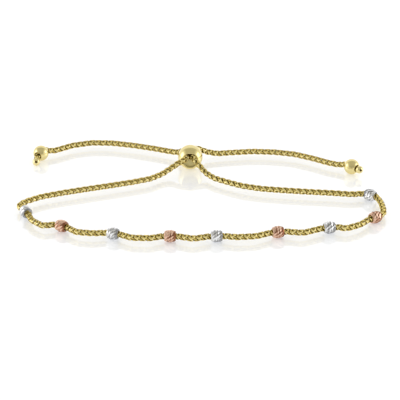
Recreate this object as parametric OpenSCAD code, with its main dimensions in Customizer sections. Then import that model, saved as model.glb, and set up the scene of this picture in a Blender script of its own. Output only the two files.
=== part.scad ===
// Bolo slider bracelet: one fine chain, both of whose strands run through a sliding ball.
// Nine cut beads are threaded on its loop, and each of its two tails ends in a ball and a stopper.
// It lies on a flat surface at z = 0, with the beaded side of the loop towards -Y.

/* [Chain] */
// Diameter of the braided chain
chain_d = 1.0; // [0.9:0.05:1.1]
// Clear space between the two strands inside the slider
strand_gap = 0.12; // [0.08:0.02:0.2]

/* [Slider] */
// Diameter of the sliding ball
slider_d = 4.8; // [4.5:0.1:5.5]
// Diameter of the ball's bore, which both strands share
slider_bore_d = 2.9; // [2.8:0.05:3.1]
// Space between the strands and the top of the bore
strand_room = 0.06; // [0.04:0.01:0.1]
// Length of the soft grip along the strands
grip_len = 2.8; // [2:0.1:3.2]
// Space all round between the grip and the ball's bore
grip_gap = 0.05; // [0.03:0.01:0.08]
// Space between a strand and the channel of the grip
channel_clearance = 0.05; // [0.03:0.01:0.08]

/* [Beads] */
// Largest diameter of a cut bead
bead_d = 2.3; // [2.15:0.05:2.6]
// Length of a cut bead along the chain
bead_len = 2.05; // [1.9:0.05:2.3]
// Outer diameter of the flat rim at each end of a bead
bead_rim_d = 1.7; // [1.6:0.05:1.85]
// Space between the chain and a bead's bore
bead_clearance = 0.2; // [0.15:0.05:0.25]
// Number of slanted cuts in one ring round a bead
cuts_round = 11; // [9:1:12]
// Depth of one cut
cut_depth = 0.055; // [0.03:0.005:0.07]
// Radius of the cutting edge that leaves a lens-shaped facet
cutter_r = 0.45; // [0.35:0.05:0.6]
// Angle between a cut and the bead's axis
cut_slant = 62; // [50:1:70]
// Distance between neighbouring rings of cuts, along the bead's axis
cut_step = 0.5; // [0.4:0.05:0.55]

/* [End balls] */
// Diameter of the ball on each tail
ball_d = 3.0; // [2.6:0.1:3.2]
// Space between the chain and an end ball's bore
ball_clearance = 0.2; // [0.15:0.05:0.25]

/* [Stopper beads] */
// Diameter of the small bead that closes each tail
stopper_d = 1.5; // [1.4:0.05:1.6]
// Space between the chain and a stopper's socket
socket_clearance = 0.05; // [0.03:0.01:0.07]
// How far the chain's end reaches past the stopper's middle
socket_depth = 0.1; // [0:0.05:0.2]
// Diameter of the small hole in the stopper's outer face
stopper_hole_d = 0.5; // [0.3:0.1:0.7]
// Chain left bare between the left ball's rim and its stopper's middle
left_hang = 1.46; // [1.2:0.02:1.8]
// Chain left bare between the right ball's rim and its stopper's middle
right_hang = 0.62; // [0.6:0.02:1.4]

/* [Hidden] */
$fn = 64;
sides = 8;
// How far the chain stays straight outside a bead, a ball or the slider
lead = 0.2;
cutter_len = 1.6;
// How much longer a shape that cuts right through is than the solid it cuts
through = 1;
bead_names = [
    "white_1", "rose_1", "white_2", "rose_2", "white_3", "rose_3", "white_4", "rose_4", "white_5"];

yellow_gold = "#d8c46c";
white_gold = "#c9c9cc";
rose_gold = "#d99f84";
soft_grip = "#a89a62";

// Where the slider stands, and where each end ball is and points: yaw, then pitch.
// The left stopper hangs down to the surface, the right one stays level with its ball.
slider_at = [-1.9, 11.4];
left_ball = [-31.3, 15.1];
left_ball_turn = [-117, -4];
left_stopper_yaw = -97;
right_ball = [29.4, 8.9];
right_ball_turn = [-42, 0];
right_stopper_turn = [-50, 0];
// Which way the small hole of each stopper faces
left_hole_turn = [-86, 24];
right_hole_turn = [-70, 12];

// Kinds of row in the route. A free row is x, y and the height of the chain's underside: the
// beads and balls, which all lie on the surface, hold the chain up between them.
// A bead row is x, y and the bead's heading. A slider row is the strand's side and its heading.
FREE = 0;
BEAD = 1;
SLIDER = 2;
route = [
    [FREE, -29.9, 16.7, 0.7], [FREE, -28.7, 16.9, 0.7], [FREE, -25.4, 19.3, 0.7], [FREE, -21.6, 20.6, 0.7],
    [FREE, -17.4, 20.4, 0.7], [FREE, -13.2, 19.3, 0.7], [FREE, -9.2, 17.9, 0.7], [FREE, -6.2, 16.6, 0.7],
    [FREE, -4.3, 15.8, 0.8],
    [SLIDER, -1, -90],
    [FREE, -3.1, 8.7, 2.5], [FREE, -4.2, 8.3, 2.0], [FREE, -5.6, 7.8, 1.2], [FREE, -7.2, 6.3, 0.7],
    [FREE, -9.4, 4.2, 0.7], [FREE, -13.0, 2.6, 0.7], [FREE, -17.2, 1.1, 0.7], [FREE, -21.6, -0.4, 0.7],
    [FREE, -26.0, -2.0, 0.7], [FREE, -29.8, -3.6, 0.7], [FREE, -32.4, -5.5, 0.7], [FREE, -33.6, -7.0, 0.7],
    [FREE, -33.6, -8.1, 0.7],
    [BEAD, -32.2, -9.8, -64],
    [FREE, -30.8, -13.4, 0.7], [FREE, -28.7, -15.5, 0.7],
    [BEAD, -25.2, -15.5, -30],
    [FREE, -22.4, -18.0, 0.7], [FREE, -19.4, -18.5, 0.7],
    [BEAD, -15.7, -18.5, -15],
    [FREE, -12.4, -20.2, 0.7], [FREE, -9.0, -20.4, 0.7],
    [BEAD, -5.4, -19.5, -2],
    [FREE, -1.2, -20.6, 0.7],
    [BEAD, 3.0, -19.5, 3],
    [FREE, 6.6, -20.0, 0.7], [FREE, 10.2, -19.6, 0.7],
    [BEAD, 14.1, -17.9, 10],
    [FREE, 18.7, -18.3, 0.7],
    [BEAD, 23.5, -16.1, 12],
    [FREE, 26.6, -16.6, 0.7], [FREE, 29.3, -15.0, 0.7],
    [BEAD, 32.2, -12.0, 33],
    [FREE, 33.8, -10.9, 0.7], [FREE, 34.0, -8.8, 0.7], [FREE, 33.8, -6.0, 0.7],
    [BEAD, 32.1, -2.8, 148],
    [FREE, 28.6, -2.6, 0.7], [FREE, 24.6, -2.0, 0.7], [FREE, 20.2, -1.5, 0.7], [FREE, 15.8, -0.9, 0.7],
    [FREE, 11.6, -0.2, 0.7], [FREE, 8.0, 1.0, 0.7], [FREE, 5.0, 2.8, 0.7], [FREE, 2.7, 4.4, 0.7],
    [FREE, 1.1, 6.5, 0.8], [FREE, -0.1, 7.7, 1.8],
    [SLIDER, 1, 90],
    [FREE, -0.6, 14.8, 2.2], [FREE, 1.3, 15.7, 1.0], [FREE, 3.4, 15.5, 0.7], [FREE, 6.4, 16.0, 0.7],
    [FREE, 10.4, 16.5, 0.7], [FREE, 14.6, 16.2, 0.7], [FREE, 18.6, 15.2, 0.7], [FREE, 22.2, 13.2, 0.7],
    [FREE, 25.0, 11.3, 0.7], [FREE, 27.1, 10.3, 0.7]
];

// Sizes that follow from those above
strand_pitch = chain_d + strand_gap;
channel_d = chain_d + 2 * channel_clearance;
grip_d = slider_bore_d - 2 * grip_gap;
// Height of the strands above the middle of the ball: they lie against the top of its bore
strand_reach = (slider_bore_d - chain_d) / 2 - strand_room;
strand_lift = sqrt(pow(strand_reach, 2) - pow(strand_pitch / 2, 2));
bead_bore_d = chain_d + 2 * bead_clearance;
ball_bore_d = chain_d + 2 * ball_clearance;
socket_d = chain_d + 2 * socket_clearance;
// Radius of the arc that is a bead's outline, from its girth to its rims
bead_sag = (bead_d - bead_rim_d) / 2;
bead_arc_r = (pow(bead_len / 2, 2) + pow(bead_sag, 2)) / (2 * bead_sag);
// Distance from a ball's middle to the plane of its bore's rim
ball_rim = sqrt(pow(ball_d / 2, 2) - pow(ball_bore_d / 2, 2));
slider_rim = sqrt(pow(slider_d / 2, 2) - pow(slider_bore_d / 2, 2));

function unit(v) = v / norm(v);
function toward(turn) = [cos(turn[0]) * cos(turn[1]), sin(turn[0]) * cos(turn[1]), sin(turn[1])];
function ball_centre(at) = [at[0], at[1], ball_d / 2];
function rim_centre(at, turn) = ball_centre(at) + ball_rim * toward(turn);
function stopper_centre(at, turn, stopper_turn, hang) =
    rim_centre(at, turn) + hang * toward(stopper_turn);

// Points of the chain in an end: inside the stopper, at the ball's outer rim and behind the ball
function end_points(at, turn, stopper_turn, hang) = [
    stopper_centre(at, turn, stopper_turn, hang) + socket_depth * toward(stopper_turn),
    rim_centre(at, turn),
    ball_centre(at) - (ball_rim + 2 * lead) * toward(turn)];

// A straight stretch of chain, half of it on each side of a middle point
function stretch(middle, turn, half) = [middle - half * toward(turn), middle + half * toward(turn)];

// Points of the chain for one row of the route
function row_points(row) =
    row[0] == BEAD ? stretch([row[1], row[2], bead_d / 2], [row[3], 0], bead_len / 2 + lead)
    : row[0] == SLIDER ? stretch(
        [slider_at[0] + row[1] * strand_pitch / 2, slider_at[1], slider_d / 2 + strand_lift],
        [row[2], 0], slider_rim + lead)
    : [[row[1], row[2], chain_d / 2 + row[3]]];

left_stopper_drop = stopper_d / 2 - rim_centre(left_ball, left_ball_turn)[2];
left_stopper_turn = [left_stopper_yaw, asin(left_stopper_drop / left_hang)];
left_end = end_points(left_ball, left_ball_turn, left_stopper_turn, left_hang);
right_end = end_points(right_ball, right_ball_turn, right_stopper_turn, right_hang);
chain_points = concat(
    left_end,
    [for (row = route) each row_points(row)],
    [for (i = [2:-1:0]) right_end[i]]);
bead_rows = [for (row = route) if (row[0] == BEAD) row];

// The chain's direction at one of its points, and the ring of corners that stands across it there
function along(points, i) = unit(
    (i == len(points) - 1 ? [0, 0, 0] : unit(points[i + 1] - points[i]))
    + (i == 0 ? [0, 0, 0] : unit(points[i] - points[i - 1])));
function ring(points, i, r) =
    let (t = along(points, i), side = unit(cross(t, [0, 0, 1])), up = cross(side, t))
    [for (k = [0:sides - 1]) points[i] + r * (cos(k * 360 / sides) * side + sin(k * 360 / sides) * up)];

// A closed tube swept along a list of points
module tube(points, r) {
    last = len(points) - 1;
    polyhedron(
        points = [for (i = [0:last]) each ring(points, i, r)],
        faces = concat(
            [[for (k = [0:sides - 1]) k]],
            [for (i = [0:last - 1], k = [0:sides - 1])
                let (a = i * sides + k, b = i * sides + (k + 1) % sides)
                [a, a + sides, b + sides, b]],
            [[for (k = [sides - 1:-1:0]) last * sides + k]]));
}

// Turns a shape built along +Z so that it points the given way
module point(turn) {
    rotate([0, 90 - turn[1], turn[0]]) children();
}

module chain() {
    color(yellow_gold) tube(chain_points, chain_d / 2);
}

module slider_ball() {
    color(yellow_gold)
        translate([slider_at[0], slider_at[1], slider_d / 2])
            rotate([90, 0, 0])
                difference() {
                    sphere(d = slider_d);
                    cylinder(h = slider_d + through, d = slider_bore_d, center = true);
                }
}

// The grip is a cradle: a round plug with an open channel on top, in which both strands lie
module slider_grip() {
    color(soft_grip)
        translate([slider_at[0], slider_at[1], slider_d / 2])
            rotate([90, 0, 0])
                difference() {
                    cylinder(h = grip_len, d = grip_d, center = true);
                    for (side = [-1, 1])
                        translate([side * strand_pitch / 2, strand_lift, 0])
                            cylinder(h = grip_len + through, d = channel_d, center = true);
                    translate([0, strand_lift - channel_d / 4 + grip_d / 2, 0])
                        cube([strand_pitch, grip_d + channel_d / 2, grip_len + through], center = true);
                    translate([0, strand_lift + grip_d / 2, 0])
                        cube([strand_pitch + channel_d, grip_d, grip_len + through], center = true);
                }
}

// The outline of a bead, turned round its axis: one arc from rim to rim, and the bore's straight wall
module bead_body() {
    rotate_extrude()
        intersection() {
            translate([bead_d / 2 - bead_arc_r, 0]) circle(r = bead_arc_r);
            translate([bead_bore_d / 2, -bead_len / 2]) square([bead_d, bead_len]);
        }
}

// One cut of the bead, at a distance along its axis: the edge leans with the outline there
module cut(at) {
    lean = asin(at / bead_arc_r);
    surface_r = bead_d / 2 - bead_arc_r * (1 - cos(lean));
    translate([surface_r, 0, at])
        rotate([0, -lean, 0])
            translate([cutter_r - cut_depth, 0, 0])
                rotate([cut_slant, 0, 0]) cylinder(h = cutter_len, r = cutter_r, center = true);
}

module cut_bead(index, shade) {
    row = bead_rows[index];
    color(shade)
        translate([row[1], row[2], bead_d / 2])
            point([row[3], 0])
                difference() {
                    bead_body();
                    for (band = [-1:1], k = [0:cuts_round - 1])
                        rotate([0, 0, (k + band / 2) * 360 / cuts_round]) cut(band * cut_step);
                }
}

module end_ball(at, turn) {
    color(yellow_gold)
        translate(ball_centre(at))
            point(turn)
                difference() {
                    sphere(d = ball_d);
                    cylinder(h = ball_d + through, d = ball_bore_d, center = true);
                }
}

module stopper(at, turn, stopper_turn, hang, hole_turn) {
    color(yellow_gold)
        translate(stopper_centre(at, turn, stopper_turn, hang))
            difference() {
                point(stopper_turn)
                    difference() {
                        sphere(d = stopper_d);
                        translate([0, 0, -stopper_d])
                            cylinder(h = stopper_d + socket_depth + socket_clearance, d = socket_d);
                    }
                point(hole_turn) cylinder(h = stopper_d, d = stopper_hole_d);
            }
}

chain();
slider_ball();
slider_grip();
for (i = [0:len(bead_names) - 1])
    cut_bead(i, i % 2 == 0 ? white_gold : rose_gold);
end_ball(left_ball, left_ball_turn);  // end_ball_left
end_ball(right_ball, right_ball_turn);  // end_ball_right
stopper(left_ball, left_ball_turn, left_stopper_turn, left_hang, left_hole_turn);  // stopper_left
stopper(right_ball, right_ball_turn, right_stopper_turn, right_hang, right_hole_turn);  // stopper_right
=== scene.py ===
# %% [markdown]
# # A bolo slider bracelet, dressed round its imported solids
#
# The bracelet is one fine braided chain. Both of its strands run through a sliding ball, nine cut
# beads are threaded on its loop, and each tail ends in a ball and a small stopper bead.
# The solids give every piece its place and size. This script gives each piece its surface: the
# woven links of the chain, the polish of the balls and the bright slanted cuts of the beads.

# %% Load the frame
import math

import bpy
import numpy as np
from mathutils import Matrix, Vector


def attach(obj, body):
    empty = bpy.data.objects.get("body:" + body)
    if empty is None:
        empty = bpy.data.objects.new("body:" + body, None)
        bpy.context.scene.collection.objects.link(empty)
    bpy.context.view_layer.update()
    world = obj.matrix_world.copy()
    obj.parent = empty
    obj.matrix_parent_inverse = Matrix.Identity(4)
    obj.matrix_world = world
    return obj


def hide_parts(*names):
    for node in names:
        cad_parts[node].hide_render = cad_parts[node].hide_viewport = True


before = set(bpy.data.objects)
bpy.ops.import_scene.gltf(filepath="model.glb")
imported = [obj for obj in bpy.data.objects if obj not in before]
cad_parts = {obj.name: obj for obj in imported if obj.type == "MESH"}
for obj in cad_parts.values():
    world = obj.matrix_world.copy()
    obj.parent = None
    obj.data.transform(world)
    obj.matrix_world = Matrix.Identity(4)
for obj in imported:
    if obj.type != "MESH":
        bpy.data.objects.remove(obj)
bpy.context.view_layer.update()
MM = 0.001

# %% [markdown]
# ## Where the camera stands
#
# The bracelet lies flat and was seen from about a quarter of the way up, from a distance at which
# the near beads look hardly larger than the far chain. A long lens some 35 cm away gives that flat
# look. The lens is worked out from the scale at the point looked at: so many pixels to a millimetre.

# %% Camera
PICTURE_PX = 400
PX_PER_MM = 5.30
LOOK_AT = np.array([0, -2.6, 0]) * MM
CAMERA_ELEVATION = math.radians(26.5)
CAMERA_DISTANCE = 350 * MM
SENSOR_MM = 36
CLIP_NEAR, CLIP_FAR = 0.01, 10


def camera_at(look_at, elevation, distance):
    """Stands the distance away from the point looked at, back along -Y and up by the elevation."""
    camera = bpy.data.objects.new("camera", bpy.data.cameras.new("camera"))
    bpy.context.scene.collection.objects.link(camera)
    back = Vector((0, -math.cos(elevation), math.sin(elevation)))
    camera.location = Vector(look_at) + distance * back
    camera.rotation_euler = (-back).to_track_quat("-Z", "Y").to_euler()
    camera.data.sensor_width = SENSOR_MM
    camera.data.lens = PX_PER_MM * (distance / MM) * SENSOR_MM / PICTURE_PX
    camera.data.clip_start = CLIP_NEAR
    camera.data.clip_end = CLIP_FAR
    return camera


bpy.context.scene.camera = camera_at(LOOK_AT, CAMERA_ELEVATION, CAMERA_DISTANCE)
print("lens in mm:", round(bpy.context.scene.camera.data.lens, 1))

# %% [markdown]
# ## Shader maths in plain Python
#
# A material is a graph of nodes, which is hard to read back. One small class wraps a socket, so that
# an expression on values adds its own Math nodes, and one method adds any other node from its type,
# its settings and its inputs. Colours go through Mix nodes, because a Math node turns them grey.

# %% Shader helpers


class Value:
    """One output socket. Arithmetic on it adds a Math node to the same recipe."""

    def __init__(self, recipe, socket):
        self.recipe = recipe
        self.socket = socket

    def _math(self, operation, *values):
        return self.recipe.node("ShaderNodeMath", {"operation": operation}, dict(enumerate(values)))

    def __add__(self, other):
        return self._math("ADD", self, other)

    def __sub__(self, other):
        return self._math("SUBTRACT", self, other)

    def __rsub__(self, other):
        return self._math("SUBTRACT", other, self)

    def __mul__(self, other):
        return self._math("MULTIPLY", self, other)

    def __abs__(self):
        return self._math("ABSOLUTE", self)

    __radd__ = __add__
    __rmul__ = __mul__

    def ease(self, start, end):
        """Rises smoothly from 0 at the start value to 1 at the end value."""
        return self.recipe.node(
            "ShaderNodeMapRange", {"interpolation_type": "SMOOTHSTEP"},
            {"Value": self, "From Min": start, "From Max": end})

    def ramp(self, *stops):
        """The colour on a ramp of (place, colour) stops."""
        return self.recipe.node("ShaderNodeValToRGB", {"stops": stops}, {0: self})


class Recipe:
    """The node tree of a material or of the world, started empty."""

    def __init__(self, owner):
        self.owner = owner
        owner.use_nodes = True
        self.tree = owner.node_tree
        self.tree.nodes.clear()

    def node(self, kind, settings=None, inputs=None, output=0):
        """Adds a node, sets its settings, then gives each named or numbered input a value or a link."""
        made = self.tree.nodes.new(kind)
        for name, setting in (settings or {}).items():
            if name == "stops":
                self._fill(made.color_ramp, setting)
            else:
                setattr(made, name, setting)
        for name, value in (inputs or {}).items():
            if isinstance(value, Value):
                self.tree.links.new(value.socket, made.inputs[name])
            else:
                made.inputs[name].default_value = value
        return Value(self, made.outputs[output]) if len(made.outputs) else None

    def _fill(self, ramp, stops):
        while len(ramp.elements) < len(stops):
            ramp.elements.new(1.0)
        for element, (place, colour) in zip(ramp.elements, stops):
            element.position = place
            element.color = colour

    def noise(self, size_mm, detail=3.0, stretch=(1, 1, 1)):
        """Cloudy values from 0 to 1 on the piece's own coordinates, in patches of about the given size."""
        scale = tuple(s / (size_mm * MM) for s in stretch)
        place = self.node("ShaderNodeTexCoord", output="Object")
        place = self.node("ShaderNodeMapping", inputs={"Vector": place, "Scale": scale})
        return self.node("ShaderNodeTexNoise", inputs={"Vector": place, "Scale": 1.0, "Detail": detail})

    def attribute(self, name):
        """A value that was written into the mesh when the piece was made."""
        return self.node("ShaderNodeAttribute", {"attribute_name": name}, output="Fac")

    def blend(self, share, low, high):
        """The low colour where share is 0, the high colour where it is 1."""
        return self.node("ShaderNodeMix", {"data_type": "RGBA"}, {0: share, 6: low, 7: high}, output=2)

    def bump(self, height, depth_mm):
        return self.node("ShaderNodeBump", inputs={"Height": height, "Distance": depth_mm * MM})

    def surface(self, constants, varying):
        """Ends in a Principled surface, with its constants set on the sockets themselves."""
        shader = self.node("ShaderNodeBsdfPrincipled", inputs={**constants, **varying})
        self.node("ShaderNodeOutputMaterial", inputs={"Surface": shader})
        return self.owner


def material_recipe(name):
    return Recipe(bpy.data.materials.new(name))


# %% [markdown]
# ## Three golds and a grip
#
# Gold is a metal, so its colour is the colour of its reflections: the yellow, white and rose alloys
# differ in base colour alone. The balls and the wire are both bright yellow gold, and the chain
# looks duller because each wire turns the light its own way, and because the weave's grooves carry
# painted shade. Handling leaves hairline marks and a faint haze on the balls. The wire is painted
# darker towards the middle of the chain and on the flanks of each wire: painted shade. Each link has
# its own tint. Both are written into the mesh as attributes when the links are made, and so are the
# depth of a bead's cuts and the painted reflection across each cut. A ball's bore is painted pale:
# painted light in the hole. The rubber grip is the one piece that isn't metal.

# %% Finishes
YELLOW = (0.87, 0.75, 0.37, 1)
YELLOW_DEEP = (0.78, 0.64, 0.27, 1)
# A ball's bore is painted this pale colour: painted light that brightens its shade.
PALE_BORE_PAINTED_LIGHT = (0.95, 0.88, 0.58, 1)
# The chain's ramp paints shade: brightest on the outermost crests, down to a painted shade deep in the weave
# and on the wires' flanks.
WOVEN_BRIGHT = (1.0, 0.93, 0.56, 1)
WOVEN = (0.95, 0.78, 0.30, 1)
WOVEN_DULL = (0.70, 0.54, 0.16, 1)
WOVEN_PAINTED_SHADE = (0.26, 0.20, 0.04, 1)
WOVEN_EDGE = (0.75, 0.62, 0.30, 1)
# Each cut bead is painted from its bright colour to its shade across every cut: a painted reflection.
WHITE = (0.95, 0.95, 0.96, 1)
WHITE_SHADE = (0.34, 0.34, 0.35, 1)
ROSE = (0.96, 0.66, 0.50, 1)
ROSE_SHADE = (0.30, 0.12, 0.06, 1)
CUT_CONTRAST = 0.85
GRIP = (0.80, 0.71, 0.34, 1)
GRIP_WORN = (0.66, 0.57, 0.25, 1)
HOLE_BEGINS, HOLE_ENDS = 0.90, 0.97
RIDGE_DEPTH = 0.35
# Where across a cut the painted reflection is brightest and where darkest.
REFLECTION_BRIGHT_AT, REFLECTION_DARK_AT = -0.3, 0.4


def polished_gold():
    """Mirror polish under a faint haze of handling and hairline marks; the bore is matt and painted pale:
    painted light in its shade.
    """
    recipe = material_recipe("polished_yellow_gold")
    haze = recipe.noise(0.8)
    hairlines = recipe.noise(0.09, 2.0, (1, 6, 1))
    drilled = recipe.attribute("drilled")
    outside = recipe.blend(haze * 0.5, YELLOW, YELLOW_DEEP)
    # The bore gets less metal and the pale colour, painted light in its shade, and it is rougher too.
    return recipe.surface(
        {},
        {"Metallic": 1.0 - 0.6 * drilled,
         "Base Color": recipe.blend(drilled, outside, PALE_BORE_PAINTED_LIGHT),
         "Roughness": 0.08 + 0.08 * haze + 0.05 * hairlines + 0.4 * drilled,
         "Normal": recipe.bump(hairlines, 0.0006)})


def drilled_gold(name, centre, radius):
    """Polished outside; what lies deeper than the ball's surface is the drilled hole: darker brown, rougher
    and less metallic.
    """
    recipe = material_recipe(name)
    place = recipe.node("ShaderNodeTexCoord", output="Object")
    away = recipe.node(
        "ShaderNodeVectorMath", {"operation": "DISTANCE"}, {0: place, 1: tuple(centre)}, "Value")
    hole = 1.0 - away.ease(HOLE_BEGINS * radius, HOLE_ENDS * radius)
    haze = recipe.noise(0.4)
    return recipe.surface(
        {},
        {"Metallic": 1.0 - 0.7 * hole,
         "Base Color": recipe.blend(hole, YELLOW, WOVEN_DULL),
         "Roughness": 0.08 + 0.10 * haze + 0.4 * hole,
         "Normal": recipe.bump(haze, 0.001)})


def woven_gold():
    """Drawn wire with painted shade: dark within the weave and on the wires' flanks, bright on the outside;
    each link has its own tint.
    """
    recipe = material_recipe("woven_yellow_gold")
    wear = recipe.noise(0.25)
    # Painted shade: darker deep in the weave and on each wire's flanks, lighter on the outermost crests.
    outward = recipe.attribute("outward") + 0.25 * wear - 0.12
    colour = outward.ramp((0.40, WOVEN_PAINTED_SHADE), (0.74, WOVEN_DULL), (0.90, WOVEN), (1.0, WOVEN_BRIGHT))
    return recipe.surface(
        {"Metallic": 1.0, "Specular Tint": WOVEN_EDGE},
        {"Base Color": recipe.blend(recipe.attribute("link_shade") * 0.25, colour, WOVEN_DULL),
         "Roughness": 0.08 + 0.14 * wear,
         "Normal": recipe.bump(wear, 0.004)})


def cut_metal(name, bright, shade):
    """Cut beads: each cut is painted from bright to dark across it, a painted reflection; the ridges between
    are duller.
    """
    recipe = material_recipe(name)
    patches = recipe.noise(0.45)
    drag = recipe.noise(0.05, 2.0, (5, 1, 1))
    ridge = 1.0 - recipe.attribute("cut_depth").ease(0.0, RIDGE_DEPTH)
    # Painted reflection: each cut goes from bright to dark across it.
    dark = recipe.attribute("cut_tone").ease(REFLECTION_BRIGHT_AT, REFLECTION_DARK_AT)
    return recipe.surface(
        {"Metallic": 1.0},
        {"Base Color": recipe.blend(0.2 * patches + CUT_CONTRAST * dark + 0.2 * ridge, bright, shade),
         "Roughness": 0.06 + 0.08 * drag + 0.14 * ridge,
         "Normal": recipe.bump(drag, 0.0015)})


def soft_grip():
    """Dull olive silicone, with a fine moulded grain and darker patches of wear."""
    recipe = material_recipe("soft_grip")
    wear = recipe.noise(0.5)
    grain = recipe.noise(0.04, 2.0)
    return recipe.surface(
        {"Metallic": 0.0, "Specular IOR Level": 0.4},
        {"Base Color": recipe.blend(wear, GRIP, GRIP_WORN),
         "Roughness": 0.5 + 0.15 * grain,
         "Normal": recipe.bump(grain, 0.01)})


BALL_GOLD = polished_gold()
CHAIN_GOLD = woven_gold()
WHITE_GOLD = cut_metal("cut_white_gold", WHITE, WHITE_SHADE)
ROSE_GOLD = cut_metal("cut_rose_gold", ROSE, ROSE_SHADE)
GRIP_RUBBER = soft_grip()
print("finishes:", len(bpy.data.materials))

# %% [markdown]
# ## From arrays to a mesh
#
# Every new surface here is worked out as whole arrays of corners and faces. One helper puts such
# arrays into a mesh, smooths it and lets it ride on the bracelet's only body. It prints the volume
# inside, the sum of the pyramids between each face and the origin. That comes out below zero when
# the faces look inward, so it also shows that a surface is the right way out.

# %% Mesh helper


def piece(name, corners_mm, faces, material, node):
    """A closed surface from its corners in millimetres and its four-sided faces, standing for a node."""
    mesh = bpy.data.meshes.new(name)
    mesh.from_pydata((corners_mm * MM).tolist(), [], faces.tolist())
    mesh.polygons.foreach_set("use_smooth", np.ones(len(mesh.polygons), bool))
    mesh.materials.append(material)
    mesh.update()
    made = bpy.data.objects.new(name, mesh)
    bpy.context.scene.collection.objects.link(made)
    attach(made, "root")
    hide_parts(node)
    first, second, third, fourth = (corners_mm[faces[:, k]] for k in range(4))
    volume = (first * (np.cross(second, third) + np.cross(third, fourth))).sum() / 6
    print(f"{name}: {len(corners_mm)} corners, {len(faces)} faces, {volume:.2f} mm3")
    return made


def write_attribute(made, name, values):
    """Writes one value for each corner, for the piece's material to read."""
    made.data.attributes.new(name, "FLOAT", "POINT").data.foreach_set("value", values.astype(np.float32))


def closed_grid(rows, columns):
    """Faces of a grid that closes on itself both ways: corner (i, j) is number i * columns + j."""
    i, j = np.meshgrid(np.arange(rows), np.arange(columns), indexing="ij")
    i_next, j_next = (i + 1) % rows, (j + 1) % columns
    around = [i * columns + j, i * columns + j_next, i_next * columns + j_next, i_next * columns + j]
    return np.stack(around, -1).reshape(-1, 4)


# %% [markdown]
# ## The line that the chain follows
#
# A chain lies where it was laid: here in a long loop with two tails. Its way is a list of given points,
# the same that the solid tube follows, because a length of chain has no formula.
# Each bead holds the chain straight at its own height, so those points are worked out from the bead.

# %% Route of the chain
CHAIN_D = 1.0
BEAD_D, BEAD_LEN = 2.3, 2.05
BALL_D, BALL_BORE_D = 3.0, 1.4
SLIDER_D, SLIDER_BORE_D = 4.8, 2.9
STOPPER_D = 1.5
STRAND_PITCH = 1.12
STRAND_ROOM = 0.06
LEAD = 0.2
SOCKET_DEPTH = 0.1
SLIDER_AT = (-1.9, 11.4)
LEFT_BALL, LEFT_BALL_TURN, LEFT_STOPPER_YAW, LEFT_HANG = (-31.3, 15.1), (-117, -4), -97, 1.46
RIGHT_BALL, RIGHT_BALL_TURN, RIGHT_STOPPER_TURN, RIGHT_HANG = (29.4, 8.9), (-42, 0), (-50, 0), 0.62
FREE, BEAD, SLIDER = "free", "bead", "slider"
ROUTE = [
    (FREE, -29.9, 16.7, 0.7), (FREE, -28.7, 16.9, 0.7), (FREE, -25.4, 19.3, 0.7), (FREE, -21.6, 20.6, 0.7),
    (FREE, -17.4, 20.4, 0.7), (FREE, -13.2, 19.3, 0.7), (FREE, -9.2, 17.9, 0.7), (FREE, -6.2, 16.6, 0.7),
    (FREE, -4.3, 15.8, 0.8),
    (SLIDER, -1, -90),
    (FREE, -3.1, 8.7, 2.5), (FREE, -4.2, 8.3, 2.0), (FREE, -5.6, 7.8, 1.2), (FREE, -7.2, 6.3, 0.7),
    (FREE, -9.4, 4.2, 0.7), (FREE, -13.0, 2.6, 0.7), (FREE, -17.2, 1.1, 0.7), (FREE, -21.6, -0.4, 0.7),
    (FREE, -26.0, -2.0, 0.7), (FREE, -29.8, -3.6, 0.7), (FREE, -32.4, -5.5, 0.7), (FREE, -33.6, -7.0, 0.7),
    (FREE, -33.6, -8.1, 0.7),
    (BEAD, -32.2, -9.8, -64),
    (FREE, -30.8, -13.4, 0.7), (FREE, -28.7, -15.5, 0.7),
    (BEAD, -25.2, -15.5, -30),
    (FREE, -22.4, -18.0, 0.7), (FREE, -19.4, -18.5, 0.7),
    (BEAD, -15.7, -18.5, -15),
    (FREE, -12.4, -20.2, 0.7), (FREE, -9.0, -20.4, 0.7),
    (BEAD, -5.4, -19.5, -2),
    (FREE, -1.2, -20.6, 0.7),
    (BEAD, 3.0, -19.5, 3),
    (FREE, 6.6, -20.0, 0.7), (FREE, 10.2, -19.6, 0.7),
    (BEAD, 14.1, -17.9, 10),
    (FREE, 18.7, -18.3, 0.7),
    (BEAD, 23.5, -16.1, 12),
    (FREE, 26.6, -16.6, 0.7), (FREE, 29.3, -15.0, 0.7),
    (BEAD, 32.2, -12.0, 33),
    (FREE, 33.8, -10.9, 0.7), (FREE, 34.0, -8.8, 0.7), (FREE, 33.8, -6.0, 0.7),
    (BEAD, 32.1, -2.8, 148),
    (FREE, 28.6, -2.6, 0.7), (FREE, 24.6, -2.0, 0.7), (FREE, 20.2, -1.5, 0.7), (FREE, 15.8, -0.9, 0.7),
    (FREE, 11.6, -0.2, 0.7), (FREE, 8.0, 1.0, 0.7), (FREE, 5.0, 2.8, 0.7), (FREE, 2.7, 4.4, 0.7),
    (FREE, 1.1, 6.5, 0.8), (FREE, -0.1, 7.7, 1.8),
    (SLIDER, 1, 90),
    (FREE, -0.6, 14.8, 2.2), (FREE, 1.3, 15.7, 1.0), (FREE, 3.4, 15.5, 0.7), (FREE, 6.4, 16.0, 0.7),
    (FREE, 10.4, 16.5, 0.7), (FREE, 14.6, 16.2, 0.7), (FREE, 18.6, 15.2, 0.7), (FREE, 22.2, 13.2, 0.7),
    (FREE, 25.0, 11.3, 0.7), (FREE, 27.1, 10.3, 0.7),
]

BALL_RIM = math.sqrt((BALL_D / 2) ** 2 - (BALL_BORE_D / 2) ** 2)
SLIDER_RIM = math.sqrt((SLIDER_D / 2) ** 2 - (SLIDER_BORE_D / 2) ** 2)
STRAND_LIFT = math.sqrt(((SLIDER_BORE_D - CHAIN_D) / 2 - STRAND_ROOM) ** 2 - (STRAND_PITCH / 2) ** 2)


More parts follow.
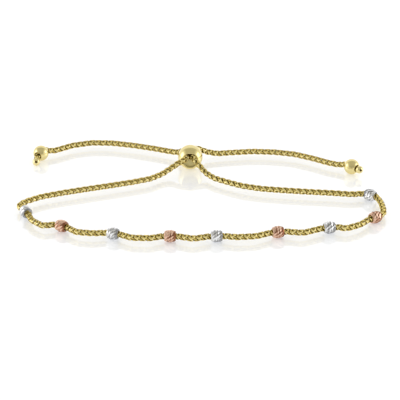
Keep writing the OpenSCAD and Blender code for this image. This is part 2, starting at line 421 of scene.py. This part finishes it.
def toward(yaw, pitch=0.0):
    """The unit vector at a yaw round Z and a pitch above the surface, in degrees."""
    yaw, pitch = math.radians(yaw), math.radians(pitch)
    return np.array([math.cos(yaw) * math.cos(pitch), math.sin(yaw) * math.cos(pitch), math.sin(pitch)])


def tail_points(ball_at, ball_turn, stopper_turn, hang):
    """From inside the stopper to the ball's outer rim, and straight through its bore to behind it."""
    centre = np.array([*ball_at, BALL_D / 2])
    rim = centre + BALL_RIM * toward(*ball_turn)
    stopper = rim + hang * toward(*stopper_turn)
    return stopper, [
        stopper + SOCKET_DEPTH * toward(*stopper_turn), rim,
        centre - (BALL_RIM + 2 * LEAD) * toward(*ball_turn)]


def row_points(row):
    """The one or two points that a row of the route gives."""
    if row[0] == FREE:
        return [np.array([row[1], row[2], CHAIN_D / 2 + row[3]])]
    if row[0] == BEAD:
        middle, turn, half = np.array([row[1], row[2], BEAD_D / 2]), row[3], BEAD_LEN / 2 + LEAD
    else:
        strand_x = SLIDER_AT[0] + row[1] * STRAND_PITCH / 2
        middle = np.array([strand_x, SLIDER_AT[1], SLIDER_D / 2 + STRAND_LIFT])
        turn, half = row[2], SLIDER_RIM + LEAD
    return [middle - half * toward(turn), middle + half * toward(turn)]


left_rim_height = BALL_D / 2 + BALL_RIM * toward(*LEFT_BALL_TURN)[2]
left_drop = math.degrees(math.asin((STOPPER_D / 2 - left_rim_height) / LEFT_HANG))
left_stopper, left_tail = tail_points(LEFT_BALL, LEFT_BALL_TURN, (LEFT_STOPPER_YAW, left_drop), LEFT_HANG)
right_stopper, right_tail = tail_points(RIGHT_BALL, RIGHT_BALL_TURN, RIGHT_STOPPER_TURN, RIGHT_HANG)
route_points = np.array(left_tail + [p for row in ROUTE for p in row_points(row)] + right_tail[::-1])
print("route points:", len(route_points))

# %% [markdown]
# ## A smooth line with a frame on it
#
# Straight steps between the points would show as kinks. The steps are cut into fiftieths of a
# millimetre and then averaged over a short stretch, as a flexible chain rounds its corners. At each
# place the line has a direction, a side that stays level, and an up that stands across both.

# %% Smooth the route
STEP = 0.02
ROUNDING = 0.4
BELL_REACH = 3


def smooth_line(points, step, rounding):
    """Even points along the steps, each averaged with its neighbours by a bell curve. Both ends stay."""
    lengths = np.concatenate([[0], np.cumsum(np.linalg.norm(np.diff(points, axis=0), axis=1))])
    spread = np.arange(0, lengths[-1], step)
    fine = np.stack([np.interp(spread, lengths, points[:, k]) for k in range(3)], 1)
    reach = int(BELL_REACH * rounding / step)
    bell = np.exp(-0.5 * (np.arange(-reach, reach + 1) * step / rounding) ** 2)
    bell /= bell.sum()
    back = 2 * fine[0] - fine[reach:0:-1]
    on = 2 * fine[-1] - fine[-2:-reach - 2:-1]
    padded = np.concatenate([back, fine, on])
    return np.stack([np.convolve(padded[:, k], bell, mode="valid") for k in range(3)], 1)


def unit(vectors):
    return vectors / np.linalg.norm(vectors, axis=-1, keepdims=True)


line = smooth_line(route_points, STEP, ROUNDING)
along_line = np.concatenate([[0], np.cumsum(np.linalg.norm(np.diff(line, axis=0), axis=1))])
line_way = unit(np.gradient(line, axis=0))
line_side = unit(np.cross(line_way, [0, 0, 1]))
line_up = np.cross(line_side, line_way)
chain_length = along_line[-1]
print("chain length in mm:", round(chain_length, 1))


def on_line(distance, right, above):
    """The place at a distance along the line, right of it and above it: line + right * side + above * up."""
    def at(values):
        return np.stack([np.interp(distance, along_line, values[:, k]) for k in range(3)], -1)

    return at(line) + right[..., None] * at(line_side) + above[..., None] * at(line_up)


# %% [markdown]
# ## The woven links
#
# The chain is woven like an ear of wheat: V after V on all four sides. Each link is a closed oval
# ring of wire, laid slantwise over one of the chain's four corners, with both ends reaching down to
# the middle of the sides next to it. The next link stands on the next corner, a quarter of the step
# on, and its end passes through the end of the one before, so one row of links winds up the chain.
# Each ring is folded back over its corner, and its leading wire lies deeper than its trailing one:
# that leaves the dark slanted grooves between the bright wires. The finished chain is pressed
# round, which flattens the backs of the wires. Each end is melted to a small lump, so that it can't
# unravel inside its stopper. All of it is one mesh: a link's corners are worked out once and
# carried along the line.

# %% Links of the chain
CORNERS = 4
LINK_STEP = 1.26
ROOM_AT_ENDS = 1.5
WIRE_D, WIRE_WIDE = 0.22, 0.30
LINK_TURNS, WIRE_SIDES = 18, 5
PRESSED_D = 1.16
WEAVE_R = 0.43
OVER_UNDER = 0.135
UNDER_TURN = math.radians(15)
HALF_SPAN = math.radians(74)
HALF_OPEN = 0.32
FOLDED_BACK, FOLD_SOFT = 0.9, 0.2
LEAN = 22.0
SWAY = 5.0
SWAY_LENGTH = 23.0
LUMP_R = 0.44
LUMP_OUTWARD = 0.7
CREST_SHARE = 0.3
NUDGE = 1e-4


def ring_round(t):
    """The wire's middle: an oval on the round chain, folded back at its corner, with one wire under.

    The angle goes with cos t, the place along the chain with sin t less the fold, and the depth with
    sin u (1 + cos u), where u is t turned back a little. The fold is a V with a soft tip.
    """
    angle = HALF_SPAN * np.cos(t)
    back = FOLDED_BACK * (np.hypot(angle, FOLD_SOFT) - FOLD_SOFT)
    u = t - UNDER_TURN
    out = WEAVE_R + OVER_UNDER * np.sin(u) * (1 + np.cos(u))
    return np.stack([out * np.cos(angle), -out * np.sin(angle), -back - HALF_OPEN * np.sin(t)], -1)


def ring_of_wire():
    """Corners of one link: round the wire's middle, half a wire out, in the plane across its way.

    What would stand out of the round chain is pressed back to it.
    """
    t = np.arange(LINK_TURNS) * 2 * np.pi / LINK_TURNS
    middle = ring_round(t)
    way = unit(ring_round(t + NUDGE) - ring_round(t - NUDGE))
    outward = middle * [1, 1, 0]
    across = unit(outward - (outward * way).sum(-1, keepdims=True) * way)
    other = np.cross(across, way)
    a = (np.arange(WIRE_SIDES) * 2 * np.pi / WIRE_SIDES)[None, :, None]
    corners = middle[:, None] + (
        WIRE_D / 2 * np.cos(a) * across[:, None] + WIRE_WIDE / 2 * np.sin(a) * other[:, None])
    pressed = np.minimum(1, PRESSED_D / 2 / np.hypot(corners[..., 0], corners[..., 1]))
    return corners * np.stack([pressed, pressed, np.ones_like(pressed)], -1), np.cos(a[..., 0])


def melted_ends():
    """A lump on each end of the chain: a ring as thick as it is wide, which leaves no hole in its middle."""
    t = (np.arange(LINK_TURNS) * 2 * np.pi / LINK_TURNS)[:, None]
    a = (np.arange(WIRE_SIDES) * 2 * np.pi / WIRE_SIDES)[None, :]
    out = LUMP_R / 2 * (1 + np.cos(a))
    middles = np.array([LUMP_R / 2, chain_length - LUMP_R / 2])[:, None, None]
    return on_line(middles + LUMP_R / 2 * np.sin(a) + 0 * t, out * np.cos(t), out * np.sin(t)).reshape(-1, 3)


def woven_chain():
    """Every link's corners, each placed by its own distance along the line, so links bend with the chain."""
    link, crest = ring_of_wire()
    count = int(CORNERS * (chain_length / LINK_STEP - ROOM_AT_ENDS))
    index = np.arange(count)
    start = LINK_STEP * (1 + index / CORNERS)
    lean = LEAN * np.interp(start, along_line, line_way[:, 0])
    sway = SWAY * np.sin(2 * np.pi * start / SWAY_LENGTH)
    turn = np.radians(45 + lean + sway + 360 / CORNERS * (index % CORNERS))
    c, s = np.cos(turn)[:, None, None], np.sin(turn)[:, None, None]
    right = c * link[..., 0] - s * link[..., 1]
    above = s * link[..., 0] + c * link[..., 1]
    corners = on_line(start[:, None, None] + link[..., 2], right, above).reshape(-1, 3)
    corners = np.concatenate([corners, melted_ends()])
    per_link = LINK_TURNS * WIRE_SIDES
    faces = closed_grid(LINK_TURNS, WIRE_SIDES) + (np.arange(count + 2) * per_link)[:, None, None]
    made = piece("chain_links", corners, faces.reshape(-1, 4), CHAIN_GOLD, "chain")
    # How far out the wire's surface lies, lowered on its flanks: the measure for the chain's painted shade.
    outward = np.hypot(link[..., 0], link[..., 1]) / (PRESSED_D / 2) * (1 - CREST_SHARE + CREST_SHARE * crest)
    lumps_outward = np.full(2 * per_link, LUMP_OUTWARD)
    write_attribute(made, "outward", np.append(np.tile(outward.ravel(), count), lumps_outward))
    shades = np.random.default_rng(7).uniform(0, 1, count + 2)
    write_attribute(made, "link_shade", np.repeat(shades, per_link))
    print("links:", count)
    return made


chain_links = woven_chain()

# %% [markdown]
# ## Bored balls
#
# The slider and the two end balls are spheres with a hole right through. Polishing rounds the edge
# of such a hole a little, and that edge catches a bright line. The outline is an arc of the sphere,
# a small arc that touches both it and the bore, the straight bore, and the same small arc again.
# Carried round the bore's own way, it gives the whole ball.

# %% Slider and end balls
BORE_EDGE = 0.10
ROUND_BALL = 96
SPHERE_POINTS, EDGE_POINTS, BORE_POINTS = 48, 10, 8
BORE_SKIN = 0.01


def bored_outline(radius, bore_radius, edge):
    """The closed outline of half a bored ball, as (along, out) points: sphere, edge, bore, edge."""
    centre_out = bore_radius + edge
    centre_along = math.sqrt((radius - edge) ** 2 - centre_out ** 2)
    touch = math.atan2(centre_out, centre_along)

    def arc(start, end, points, along, out, size):
        a = np.linspace(start, end, points)
        return np.stack([along + size * np.cos(a), out + size * np.sin(a)], 1)

    sphere = arc(math.pi - touch, touch, SPHERE_POINTS, 0, 0, radius)
    front = arc(touch, -math.pi / 2, EDGE_POINTS, centre_along, centre_out, edge)[1:]
    along_bore = np.linspace(centre_along, -centre_along, BORE_POINTS + 2)[1:-1]
    bore = np.stack([along_bore, np.full(BORE_POINTS, bore_radius)], 1)
    back = arc(-math.pi / 2, -math.pi - touch, EDGE_POINTS, -centre_along, centre_out, edge)[:-1]
    return np.concatenate([sphere, front, bore, back])


def across_to(way):
    """Two unit vectors across a direction: a level one, and the one that stands on both."""
    level = unit(np.cross([0, 0, 1], way))
    return level, np.cross(way, level)


def turned(outline, middle, way, sides):
    """Corners of an outline carried round the way through the middle: one row for each of its points."""
    level, standing = across_to(way)
    a = (np.arange(sides) * 2 * np.pi / sides)[None, :, None]
    along, out = outline[:, 0, None, None], outline[:, 1, None, None]
    return middle + along * way + out * (np.cos(a) * level + np.sin(a) * standing)


def bored_ball(node, diameter, bore_d, middle, way):
    outline = bored_outline(diameter / 2, bore_d / 2, BORE_EDGE)
    corners = turned(outline, middle, way, ROUND_BALL)
    faces = closed_grid(*corners.shape[:2])
    made = piece(node + "_polished", corners.reshape(-1, 3), faces, BALL_GOLD, node)
    write_attribute(made, "drilled", np.repeat(outline[:, 1] < bore_d / 2 + BORE_SKIN, ROUND_BALL))


slider_middle = np.array([*SLIDER_AT, SLIDER_D / 2])
left_middle = np.array([*LEFT_BALL, BALL_D / 2])
right_middle = np.array([*RIGHT_BALL, BALL_D / 2])
bored_ball("slider_ball", SLIDER_D, SLIDER_BORE_D, slider_middle, toward(90))
bored_ball("end_ball_left", BALL_D, BALL_BORE_D, left_middle, toward(*LEFT_BALL_TURN))
bored_ball("end_ball_right", BALL_D, BALL_BORE_D, right_middle, toward(*RIGHT_BALL_TURN))

# %% [markdown]
# ## Cut beads
#
# Each bead is a small barrel that a spinning cutter has nicked all round, in three rings that are
# staggered like bricks. The cutter's edge is round and leans across the bead, so every nick is a
# slanted lens: across the lens the cut gets shallower with the square of the distance, quickly,
# because the round edge rises as the barrel falls away. Along the lens only the barrel falls away.
# How deep the surface lies at a place is the deepest of all the cuts there. A cut is a small hollow
# mirror, so from one long side to the other it would go from bright to dark: that is painted into
# its colour, a painted reflection that follows the place across the cut, shifted a little for each
# cut, because no two are struck at quite one turn.

# %% Beads
BEAD_BORE_D, BEAD_RIM_D = 1.4, 1.7
BROKEN_EDGE, BROKEN_CORNER = 0.05, 0.015
INSIDE_MARGIN, INSIDE_POINTS = 0.2, 6
CUTS_ROUND, CUT_RINGS = 11, 3
CUT_DEPTH, CUTTER_R = 0.095, 0.45
CUT_SLANT, CUT_STEP = 62, 0.5
# How far the painted reflection shifts from one cut to the next.
REFLECTION_SHIFT = 0.62
ROLL_STEP = 0.9
BEAD_ROUND, BEAD_ALONG = 160, 64
BEAD_SAG = (BEAD_D - BEAD_RIM_D) / 2
BEAD_ARC_R = ((BEAD_LEN / 2) ** 2 + BEAD_SAG ** 2) / (2 * BEAD_SAG)


def cuts_at(along, a):
    """At each place of the barrel, the depth of its deepest cut, from 0 on a ridge, and the painted
    reflection there.
    """
    ring, number = np.meshgrid(np.arange(CUT_RINGS) - CUT_RINGS // 2, np.arange(CUTS_ROUND), indexing="ij")
    at = (ring * CUT_STEP).ravel()
    turn = ((number + ring / 2) * 2 * np.pi / CUTS_ROUND).ravel()
    ahead = along[..., None] - at
    round_by = (a[..., None] - turn + np.pi) % (2 * np.pi) - np.pi
    sideways = BEAD_D / 2 * round_by
    slant = math.radians(CUT_SLANT)
    lengthwise = ahead * math.cos(slant) - sideways * math.sin(slant)
    crosswise = ahead * math.sin(slant) + sideways * math.cos(slant)
    barrel_falls = 1 / BEAD_D
    edge_rises = 1 / (2 * CUTTER_R)
    depth = CUT_DEPTH - (edge_rises + barrel_falls) * crosswise ** 2 - barrel_falls * lengthwise ** 2
    deepest = depth.argmax(-1)[..., None]
    half_width = math.sqrt(CUT_DEPTH / (edge_rises + barrel_falls))
    # The painted reflection: the place across the deepest cut, shifted for each cut.
    across_the_cut = np.take_along_axis(crosswise, deepest, -1)[..., 0] / half_width
    own_turn = deepest[..., 0] * REFLECTION_SHIFT % 1.0 - 0.5
    return np.maximum(depth, 0).max(-1), across_the_cut + own_turn


def barrel():
    """The barrel's corners about its middle, as (along, out, angle) grids, and its cuts' depths and painted
    reflections.
    """
    half_arc = math.asin(BEAD_LEN / 2 / BEAD_ARC_R)
    lean = np.linspace(-half_arc, half_arc, BEAD_ALONG)
    outer = np.stack([BEAD_ARC_R * np.sin(lean), BEAD_D / 2 - BEAD_ARC_R * (1 - np.cos(lean))], 1)
    rim, bore, half = BEAD_RIM_D / 2, BEAD_BORE_D / 2, BEAD_LEN / 2
    front = np.array([
        [half, rim - BROKEN_EDGE], [half, bore + BROKEN_EDGE],
        [half - BROKEN_CORNER, bore + BROKEN_CORNER], [half - BROKEN_EDGE, bore]])
    along_bore = np.linspace(half - INSIDE_MARGIN, INSIDE_MARGIN - half, INSIDE_POINTS)
    inside = np.stack([along_bore, np.full(INSIDE_POINTS, bore)], 1)
    back = front[::-1] * [-1, 1]
    outline = np.concatenate([outer, front, inside, back])
    along, a = np.meshgrid(outline[:, 0], np.arange(BEAD_ROUND) * 2 * np.pi / BEAD_ROUND, indexing="ij")
    depths, painted_reflections = np.zeros_like(along), np.zeros_like(along)
    depths[:BEAD_ALONG], painted_reflections[:BEAD_ALONG] = cuts_at(along[:BEAD_ALONG], a[:BEAD_ALONG])
    return along, outline[:, 1, None] - depths, a, depths, painted_reflections


along_bead, out_bead, round_bead, bead_depths, bead_painted_reflections = barrel()


def cut_bead(node, middle, way, rolled, material):
    """The one barrel, carried to a bead's place: along its way, and out round it, rolled by an angle."""
    level, standing = across_to(way)
    corners = (
        middle + along_bead[..., None] * way
        + (out_bead * np.cos(round_bead + rolled))[..., None] * level
        + (out_bead * np.sin(round_bead + rolled))[..., None] * standing)
    made = piece(node + "_cut", corners.reshape(-1, 3), closed_grid(*along_bead.shape), material, node)
    write_attribute(made, "cut_depth", (bead_depths / CUT_DEPTH).ravel())
    # The painted reflection of each cut, for the material to read.
    write_attribute(made, "cut_tone", bead_painted_reflections.ravel())
    return made


bead_rows = [row for row in ROUTE if row[0] == BEAD]
for index, row in enumerate(bead_rows):
    shade = "white" if index % 2 == 0 else "rose"
    material = WHITE_GOLD if shade == "white" else ROSE_GOLD
    node = f"bead_{shade}_{index // 2 + 1}"
    middle = np.array([row[1], row[2], BEAD_D / 2])
    cut_bead(node, middle, toward(row[3]), index * ROLL_STEP, material)

# %% [markdown]
# ## Solids that stay
#
# The stoppers, with their sockets and small holes, and the grip's open channel are already right in
# the solids, so these keep their meshes and only change their finish. A stopper's finish finds the
# hole by the distance from the stopper's middle: what lies nearer than its outside was drilled.

# %% Dress the solids
STAYING = {
    "stopper_left": drilled_gold("stopper_gold_left", left_stopper * MM, STOPPER_D / 2 * MM),
    "stopper_right": drilled_gold("stopper_gold_right", right_stopper * MM, STOPPER_D / 2 * MM),
    "slider_grip": GRIP_RUBBER}
for name, material in STAYING.items():
    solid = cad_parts[name]
    solid.data.materials.clear()
    solid.data.materials.append(material)

# %% [markdown]
# ## The sheet it lies on
#
# Under every piece is its faint mirror image: that of a ball begins where the ball touches the
# sheet, that of the chain runs well below the chain, which the beads hold up. So the sheet is white
# and glossy on top. It hardly darkens under the pieces, because light also comes through from below.

# %% Floor
FLOOR_HALF = 2.0


def level_square(name, material):
    """One large square at the height of the surface that the bracelet lies on."""
    mesh = bpy.data.meshes.new(name)
    corners = [(x * FLOOR_HALF, y * FLOOR_HALF, 0) for x, y in ((-1, -1), (1, -1), (1, 1), (-1, 1))]
    mesh.from_pydata(corners, [], [(0, 1, 2, 3)])
    mesh.materials.append(material)
    square = bpy.data.objects.new(name, mesh)
    bpy.context.scene.collection.objects.link(square)


glossy_white = material_recipe("glossy_white").surface(
    {"Base Color": (0.86, 0.86, 0.87, 1), "Roughness": 0.02, "IOR": 2.4,
     "Emission Color": (0.92, 0.95, 1.0, 1), "Emission Strength": 0.36}, {})
level_square("floor", glossy_white)

# %% [markdown]
# ## The light round it
#
# The polished balls show what stood round them: white walls to the sides and behind, a soft box
# low on each side, and a duller strip that runs from the camera over the top, where the tent is
# open. The strip is what makes the middle of each ball olive, and the cuts of the beads sparkle.

# %% Tent
TENT_WALL = (1.0, 1.0, 1.0, 1)
TENT_TOP = (0.56, 0.55, 0.50, 1)
TENT_FRONT = (0.46, 0.45, 0.41, 1)
STRIP_EDGE = (0.55, 0.85)
STRIP_BACK = (0.40, 0.62)
STRIP_FOOT = (0.0, 0.2)
FRONT_TO_TOP = (0.35, 0.75)
scene = bpy.context.scene
scene.view_settings.view_transform = "Standard"
scene.view_settings.look = "None"


def tent():
    """The walls' glow, and the duller strip: near the plane through the camera, up to just past the top."""
    scene.world = bpy.data.worlds.new("tent")
    recipe = Recipe(scene.world)
    way = recipe.node("ShaderNodeTexCoord", output="Generated")
    sideways, deep, up = (recipe.node("ShaderNodeSeparateXYZ", inputs={0: way}, output=k) for k in range(3))
    strip = (1.0 - abs(sideways).ease(*STRIP_EDGE)) * (1.0 - deep.ease(*STRIP_BACK)) * up.ease(*STRIP_FOOT)
    dull = recipe.blend(up.ease(*FRONT_TO_TOP), TENT_FRONT, TENT_TOP)
    colour = recipe.blend(strip, TENT_WALL, dull)
    glow = recipe.node("ShaderNodeBackground", inputs={"Color": colour, "Strength": 1.0})
    recipe.node("ShaderNodeOutputWorld", inputs={"Surface": glow})


tent()

# %% Soft boxes
BOX_AWAY, BOX_UP, BOX_SIZE, BOX_POWER = 0.60, 0.17, 0.32, 0.5


def soft_box(name, at):
    """A square soft light that faces the bracelet."""
    light = bpy.data.lights.new(name, "AREA")
    light.shape = "SQUARE"
    light.size = BOX_SIZE
    light.energy = BOX_POWER
    box = bpy.data.objects.new(name, light)
    scene.collection.objects.link(box)
    box.location = at
    box.rotation_euler = (-Vector(at)).to_track_quat("-Z", "Y").to_euler()


soft_box("soft_box_left", (-BOX_AWAY, 0.03, BOX_UP))
soft_box("soft_box_right", (BOX_AWAY, 0.03, BOX_UP))
